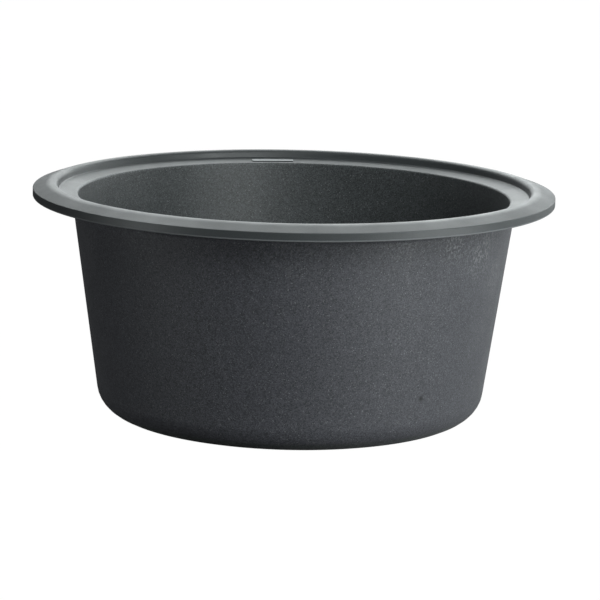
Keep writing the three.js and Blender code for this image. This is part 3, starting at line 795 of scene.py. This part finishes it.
def sumpShape(name, s, radius, depth, rounding, rise):
    # a round pan whose floor falls towards the outlet
    piece = turned(name, [
        (0, -depth), (radius - s.sumpTaper, -depth, rounding), (radius, 0), (radius, rise), (0, rise),
    ], blackPlastic, s.segments, closed=False)
    for vertex in piece.data.vertices:
        if vertex.co.z < 0:
            vertex.co.z *= (depth * mm + s.sumpSlope * vertex.co.y) / (depth * mm)
    return placed(piece, Matrix.Translation((0, 0, s.flangeBottom * mm)))


def ductShape(name, s, inset, start, end):
    # ellipses that turn into a circle
    top = s.flangeBottom + (s.flangeTop - s.flangeBottom) / 2
    bottom = s.flangeBottom - s.sumpDepth - s.sumpSlope * s.ductStart
    endTop = s.outletAxis + s.outletRadius
    endBottom = s.outletAxis - s.outletRadius
    circle = arc((0, 0), 1, 0, 2 * math.pi, s.outletSegments)[:-1]
    rings = []
    for k in range(s.ductSteps + 1):
        y = start + (end - start) * k / s.ductSteps
        along = (y - s.ductStart) / (s.ductEnd - s.ductStart)
        kept = min(1, max(0, along))
        eased = kept * kept * (3 - 2 * kept)
        halfWidth = s.ductHalfWidth + (s.outletRadius - s.ductHalfWidth) * eased - inset
        high = top + (endTop - top) * along - inset
        low = bottom + (endBottom - bottom) * along + inset
        middle, halfHeight = (high + low) / 2, (high - low) / 2
        rings.append([(halfWidth * across, y, middle + halfHeight * up) for across, up in circle])
    return lofted(name, rings, blackPlastic)


def gussets(s):
    # triangular ribs between the flange and the sump's wall
    inner = s.sumpRadius - s.sumpTaper - s.wall / 2
    outer = s.flangeRadius - s.wall / 2
    half = s.gussetThickness / 2
    section = [(inner, -s.gussetHeight), (s.sumpRadius, -s.gussetHeight), (outer, 0),
               (outer, s.gussetRise), (inner, s.gussetRise)]
    rib = lofted("gussets", [[(x - inner, y, z + s.flangeBottom) for x, z in section]
                             for y in (-half, half)], blackPlastic)
    changed(rib, "BEVEL", width=s.gussetBevel * mm, segments=2, limit_method="ANGLE")
    return runTree(rib, copiesTree, {"Count": s.gussetCount, "Radius": inner * mm, "Start": 0.0,
                                     "Material": blackPlastic})


def makeWasteBody(s):
    wall = s.wall

    def tube(name, radius, start, end):
        made = rod(name, radius + s.seam, start, end, blackPlastic, s.outletSegments)
        return placed(made, outletTurn)

    def post(name, radius, bottom, top):
        return rod(name, radius, bottom, top, blackPlastic, s.hubSegments)

    rounding = s.flangeRounding
    piece = turned("wasteBody", [
        (0, s.flangeBottom), (s.flangeRadius, s.flangeBottom, rounding),
        (s.flangeRadius, s.flangeTop, rounding), (0, s.flangeTop),
    ], blackPlastic, s.segments, closed=False)
    hollow = sumpShape("hollow", s, s.sumpRadius - wall, s.sumpDepth - wall,
                       s.sumpRounding - wall, s.hollowRise)
    combined(hollow, ductShape("ductHollow", s, wall, s.ductStart - wall, s.ductEnd), "UNION")
    combined(hollow, tube("bore", s.boreRadius, s.ductEnd - 2 * wall, s.outletEnd + 2), "UNION")
    sump = sumpShape("sump", s, s.sumpRadius, s.sumpDepth, s.sumpRounding, s.sumpRise)
    for other, operation in (
            (sump, "UNION"),
            (ductShape("duct", s, 0, s.ductStart, s.ductEnd), "UNION"),
            (tube("outlet", s.outletRadius, s.ductEnd - wall, s.outletEnd), "UNION"),
            (gussets(s), "UNION"),
            (hollow, "DIFFERENCE"),
            (post("hub", s.hubRadius, s.hubBottom, s.hubTop), "UNION"),
            (post("insertPocket", s.pocketRadius, s.pocketBottom, s.hubTop + 1), "DIFFERENCE")):
        combined(piece, other, operation)
    cleaned(piece.data, s.smoothAngle)
    thread = threadRidge("outletThread", s.outletRadius, s.threadStart, s.threadEnd,
                         s.threadPitch, s.threadHeight, blackPlastic)
    return joined(piece, placed(thread, outletTurn))


settled(makeWasteBody(waste), "sink", "waste_body")
print("waste body ready")

nut = Settings({
    "radius": 27.5, "lobes": 16, "lobeDepth": 0.9, "stepsPerLobe": 16, "start": 106, "end": 126.7,
    "bore": 24.2, "boreRounding": 0.4, "endInner": 124.1, "endBore": 20.6, "endRounding": 0.5,
    "startRounding": 0.9, "noseRounding": 1.44, "bandWidth": 1,
})
outletRings = Settings({
    "washerInner": 20.3, "washerOuter": 23.6, "washerStart": 118.2, "washerLip": 1.47,
    "washerEnd": 122.6, "washerTip": 22.1, "slipInner": 20.6, "slipOuter": 23.6,
    "slipStart": 122.8, "slipEnd": 124.1, "edge": 0.3, "segments": 96,
})


def makeOutletNut(s):
    # a turned nut whose grip swells and dips in even lobes
    piece = turned("outletNut", [
        (s.bore, s.start, s.boreRounding), (s.radius, s.start, s.startRounding),
        (s.radius, s.end, s.noseRounding), (s.endBore, s.end, s.endRounding),
        (s.endBore, s.endInner), (s.bore, s.endInner),
    ], blackPlastic, s.lobes * s.stepsPerLobe)
    for vertex in piece.data.vertices:
        radius = math.hypot(vertex.co.x, vertex.co.y)
        if radius > (s.bore + s.bandWidth) * mm:
            wave = (1 - math.cos(s.lobes * math.atan2(vertex.co.y, vertex.co.x))) / 2
            share = 1 - s.lobeDepth * mm * wave / radius
            vertex.co.x *= share
            vertex.co.y *= share
    return placed(piece, outletTurn)


def makeOutletRings(s):
    edge, shoulder = s.edge, s.washerStart + s.washerLip
    washer = turned("outletWasher", [
        (s.washerInner, s.washerStart), (s.washerOuter, s.washerStart, edge),
        (s.washerOuter, shoulder, edge), (s.washerTip, s.washerEnd, edge),
        (s.washerInner, s.washerEnd),
    ], blackRubber, s.segments)
    slip = ring("outletSlipRing", (s.slipInner, s.slipOuter), (s.slipStart, s.slipEnd),
                (0, edge), whitePlastic, s.segments)
    settled(placed(washer, outletTurn), "sink", "outlet_washer")
    settled(placed(slip, outletTurn), "sink", "outlet_slip_ring")


settled(makeOutletNut(nut), "sink", "outlet_nut")
makeOutletRings(outletRings)
print("outlet ready")


basket = Settings({
    "sheet": 0.9, "rimRadius": 42.15, "rimLevel": -183.7, "lip": 1.6, "wallTop": 38.55,
    "taper": 6.2, "floorLevel": -198.2, "rounding": 3, "stemHole": 3.1,
    "holeRadius": 1.9, "holeRings": ((15, 8), (24, 14)),
    "slotCount": 16, "slotWidth": 2.6, "slotHeight": 5.5, "lipRounding": 0.9, "points": 24,
    "segments": 160,
})


def makeBasket(s):
    wallTop = s.wallTop
    piece = turned("strainerBasket", [
        (s.rimRadius, s.rimLevel - s.lip),
        (s.rimRadius, s.rimLevel, s.lipRounding),
        (wallTop, s.rimLevel, s.lipRounding),
        (wallTop - s.taper, s.floorLevel, s.rounding),
        (s.stemHole, s.floorLevel),
    ], stainless, s.segments, sheet=s.sheet)
    below, above = (s.floorLevel + reach for reach in cutterReach)
    for radius, count in s.holeRings:
        hole = rod("hole", s.holeRadius, below, above, stainless, s.points)
        cutRound(piece, hole, count, radius, stainless)
    half, tall = s.slotWidth / 2, s.slotHeight / 2
    middle = (s.rimLevel + s.floorLevel) / 2
    line = []
    for k in range(s.points):
        a = 2 * math.pi * k / s.points
        shift = (tall - half) * (1 if k < s.points / 2 else -1)
        line.append((half * math.cos(a), half * math.sin(a) + shift))
    slot = lofted("slot", [[(x, y, z + middle) for y, z in line] for x in (-s.taper, s.taper)])
    return cutRound(piece, slot, s.slotCount, wallTop - s.taper / 2, stainless)


settled(makeBasket(basket), "basket", "strainer_basket")

stopper = Settings({
    "bore": 3.1, "bottom": -201.1, "thickness": 1.8, "cupFloorRadius": 31.1, "cupFloor": -204.5,
    "seatRise": 3.5, "seatWidth": 9, "gap": 0.35, "edge": 37.7, "edgeRounding": 0.3,
    "footRounding": 1, "neckRounding": 2, "segments": 128,
})


def makeStopper(s):
    def seatAt(radius):
        return s.cupFloor + s.seatRise * (radius - s.cupFloorRadius) / s.seatWidth + s.gap
    lip = s.cupFloorRadius + s.thickness
    top = s.bottom + s.thickness
    return turned("basketSeal", [
        (s.bore, s.bottom),
        (s.cupFloorRadius - s.thickness, s.bottom, s.footRounding),
        (lip, seatAt(lip), s.edgeRounding),
        (s.edge, seatAt(s.edge), s.edgeRounding),
        (s.edge, seatAt(s.edge) + s.thickness / 2, s.edgeRounding),
        (s.cupFloorRadius, top, s.neckRounding),
        (s.bore, top),
    ], blackRubber, s.segments)


settled(makeStopper(stopper), "basket", "basket_seal")

handle = Settings({
    "stemRadius": 2.8, "stemTip": -206.05, "stemTop": -188.05, "tipRounding": 1.4, "flangeRadius": 9,
    "flangeBottom": -202.5, "flangeTop": -201.3, "edge": 0.3,
    "nutBottom": -198.0, "nutTop": -195.0, "nutFlats": 10, "nutBore": 3.1,
    "nutChamfer": (0.8, 0.5),   # across and along; it takes the hexagon's corners off
    "knobBottom": -194.8, "knobTop": -181.3, "knobRadius": 11, "neckRadius": 5, "headHeight": 6.5,
    "knobRoundings": (0.4, 2, 1.5, 2.5), "socketRadius": 3.1, "socketTop": -187.75,
    "groove": (7.2, 7.0, 6.4, 6.2), "grooveDepth": 0.35, "grooveRounding": 0.2,
    "stemSegments": 64, "nutSegments": 96, "knobSegments": 128, "nutSmoothAngle": 20,
})


def makeHandle(s):
    edge = s.edge
    stem = turned("basketStem", [
        (0, s.stemTip), (s.stemRadius, s.stemTip, s.tipRounding),
        (s.stemRadius, s.flangeBottom), (s.flangeRadius, s.flangeBottom, edge),
        (s.flangeRadius, s.flangeTop, edge), (s.stemRadius, s.flangeTop),
        (s.stemRadius, s.stemTop), (0, s.stemTop),
    ], stainless, s.stemSegments, closed=False)
    settled(stem, "basket", "basket_stem")
    corner = s.nutFlats / math.sqrt(3)
    hexagon = prism("stemNut", arc((0, 0), corner, math.pi / 2, 2 * math.pi, 6)[:-1],
                    s.nutBottom, s.nutTop, stainless)
    outer = corner + 0.1        # just clear of the corners
    across, along = s.nutChamfer
    blank = turned("blank", [
        (s.nutBore, s.nutBottom), (outer - across, s.nutBottom), (outer, s.nutBottom + along),
        (outer, s.nutTop - along), (outer - across, s.nutTop), (s.nutBore, s.nutTop),
    ], stainless, s.nutSegments)
    combined(hexagon, blank, "INTERSECT")
    cleaned(hexagon.data, s.nutSmoothAngle)
    settled(hexagon, "basket", "stem_nut")
    head = s.knobTop - s.headHeight
    foot, neck, under, crown = s.knobRoundings
    small = s.grooveRounding
    dip = s.knobTop - s.grooveDepth
    levels = (s.knobTop, dip, dip, s.knobTop)
    knob = turned("basketKnob", [
        (0, s.socketTop), (s.socketRadius, s.socketTop),
        (s.socketRadius, s.knobBottom, small), (s.neckRadius, s.knobBottom, foot),
        (s.neckRadius, head, neck),
        (s.knobRadius, head + under, under), (s.knobRadius, s.knobTop, crown),
        *((radius, level, small) for radius, level in zip(s.groove, levels)), (0, s.knobTop),
    ], polishedSteel, s.knobSegments, closed=False)
    settled(knob, "basket", "basket_knob")


makeHandle(handle)
print("basket ready")


# a small bare plate that lies along the ledge at the back left
plate = Settings({
    "length": 37, "width": 5.6, "thickness": 0.7, "corner": 0.5, "bevel": 0.22, "bends": 32,
    "angle": math.radians(96.2), "middleRadius": 185.6, "lift": 0.02,
    "ledgeOuter": (194.6, -6.5), "ledgeInner": (178.8, -9.1), "faceSlope": 0.75,
})


def makePlate(s):
    (outerRadius, outerLevel), (innerRadius, innerLevel) = s.ledgeOuter, s.ledgeInner
    run = math.hypot(outerRadius - innerRadius, outerLevel - innerLevel)
    slope = Vector((outerRadius - innerRadius, outerLevel - innerLevel)) / run
    upward = Vector((-slope.y, slope.x))
    half, wide = s.length / 2, s.width / 2
    outline = filleted([(x, y, s.corner) for x, y in boxCorners(half, wide)], True)
    flat = prism("ledgePlate", [(p.x, p.y) for p in outline], 0, s.thickness, platePlastic)
    work = bmesh.new()
    work.from_mesh(flat.data)
    for k in range(1, s.bends):
        cut = (2 * k / s.bends - 1) * half * mm
        bmesh.ops.bisect_plane(work, geom=work.verts[:] + work.edges[:] + work.faces[:],
                               plane_co=(cut, 0, 0), plane_no=(1, 0, 0))
    work.to_mesh(flat.data)
    work.free()
    changed(flat, "BEVEL", width=s.bevel * mm, segments=3, limit_method="ANGLE",
            angle_limit=math.radians(50))
    # the side faces get the near-black moulding: painted shade where the plate's edges stand in shadow
    flat.data.materials.append(blackPlastic)
    for face in flat.data.polygons:     # its edges are dark
        face.material_index = int(face.normal.z < s.faceSlope)
    middleLevel = outerLevel + (s.middleRadius - outerRadius) * slope.y / slope.x
    for vertex in flat.data.vertices:
        along, across, rise = vertex.co / mm
        rise += s.lift
        radius = s.middleRadius + across * slope.x + rise * upward.x
        level = middleLevel + across * slope.y + rise * upward.y
        angle = s.angle - along / s.middleRadius
        vertex.co = Vector((radius * math.cos(angle), radius * math.sin(angle), level)) * mm
    cleaned(flat.data)
    return flat


ledgePlate = makePlate(plate)
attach(ledgePlate, "sink")
print("plate ready")


studio = Settings({
    "floorLevel": -0.252, "floorSize": 30, "floorRoughness": 0.9,
    "floorColours": ((0.02, 0.02, 0.02, 1), (0.30, 0.30, 0.30, 1)),     # towards the left and the right
    "floorBlend": (-0.02, 0.22),        # where along X the one becomes the other
    "whiteShare": 0.985, "whiteStrength": 1.02, "floorGloss": 0.02,
    "horizonGloss": 0.25, "horizonRise": 0.5,
    "worldColour": (0.93, 0.95, 1.0, 1), "worldStrength": 0.02,
})
lamps = {       # azimuth from +X, height angle, distance, width and depth, power in watts
    "key": (-50, 27, 1.6, (1.0, 0.8), 14.5),
    "front": (-72, 36, 1.8, (1.2, 0.8), 6),
    "low": (-30, -2, 1.6, (1.2, 0.24), 9.5),
    "rightBack": (32, 12, 1.6, (1.8, 0.9), 11),
    "backRight": (65, 20, 1.6, (1.0, 0.6), 2.6),
    "back": (90, 28, 1.6, (1.0, 0.7), 4.4),
    "backLow": (88, 12, 1.6, (1.0, 0.4), 2),
    "backLeft": (120, 20, 1.6, (1.0, 0.6), 1.15),
    "top": (90, 45, 1.5, (1.2, 0.8), 8.3),
    "overhead": (0, 90, 1.5, (2.4, 2.0), 10),
    "left": (-154, 0, 1.8, (1.0, 0.36), 5),
}
aim = Vector((0, 0, -0.06))
lampTint = (0.95, 1.0, 1.0)


def makeFloor(s):
    half = s.floorSize / 2
    mesh = bpy.data.meshes.new("floor")
    mesh.from_pydata([(x, y, s.floorLevel) for x, y in boxCorners(half, half)], [], [(0, 1, 2, 3)])
    material, tree, shader = newMaterial("floorWhite", Roughness=s.floorRoughness)
    place = addNode(tree, "ShaderNodeTexCoord").outputs["Object"]
    across = addNode(tree, "ShaderNodeSeparateXYZ", {"Vector": place}).outputs["X"]
    tree.links.new(mixed(tree, ranged(tree, across, *s.floorBlend), *s.floorColours),
                   shader.inputs["Base Color"])
    tree.links.new(whiteRays(tree, shader.outputs["BSDF"], s),
                   tree.nodes["Material Output"].inputs["Surface"])
    mesh.materials.append(material)
    addObject("floor", mesh)


def lookingRays(tree):
    # whether the camera looks, and whether gloss or glass does
    rays = addNode(tree, "ShaderNodeLightPath").outputs
    mirrored = maths(tree, "MAXIMUM", rays["Is Glossy Ray"], rays["Is Transmission Ray"])
    return rays["Is Camera Ray"], mirrored


def whiteRays(tree, surface, s):
    # what the camera sees is mostly plain white, and gloss and glass see part of it; the
    # object's shadow stays in the rest
    seen, mirrored = lookingRays(tree)
    share = maths(tree, "MAXIMUM", times(tree, seen, s.whiteShare),
                  times(tree, mirrored, s.floorGloss))
    white = addNode(tree, "ShaderNodeEmission", {"Color": (1, 1, 1, 1), "Strength": s.whiteStrength})
    blend = addNode(tree, "ShaderNodeMixShader", {0: share, 1: surface, 2: white})
    return blend.outputs[0]


def makeWorld(s):
    world = bpy.data.worlds.new("studio")
    bpy.context.scene.world = world
    world.use_nodes = True
    tree = world.node_tree
    light = tree.nodes["Background"]
    light.inputs["Color"].default_value = s.worldColour
    seen, mirrored = lookingRays(tree)
    # gloss and glass see a pale backdrop that fades out upwards
    aimed = addNode(tree, "ShaderNodeTexCoord").outputs["Generated"]
    rise = addNode(tree, "ShaderNodeSeparateXYZ", {"Vector": aimed}).outputs["Z"]
    backdrop = ranged(tree, rise, 0, s.horizonRise, s.horizonGloss, 0)
    shown = maths(tree, "MAXIMUM", seen, times(tree, mirrored, backdrop))
    tree.links.new(maths(tree, "MAXIMUM", shown, s.worldStrength), light.inputs["Strength"])


def makeLamps(settings):
    for name, (azimuth, rise, distance, (width, depth), power) in settings.items():
        data = bpy.data.lights.new(name, "AREA")
        data.shape = "RECTANGLE"
        data.size, data.size_y = width, depth
        data.energy = power
        data.color = lampTint
        lamp = addObject(name, data)
        turn, lift = math.radians(azimuth), math.radians(rise)
        out = Vector((math.cos(turn) * math.cos(lift), math.sin(turn) * math.cos(lift), math.sin(lift)))
        lamp.location = aim + out * distance
        lamp.rotation_euler = (-out).to_track_quat("-Z", "Y").to_euler()


makeFloor(studio)
makeWorld(studio)
makeLamps(lamps)
bpy.context.scene.view_settings.view_transform = "Standard"
print("studio ready")
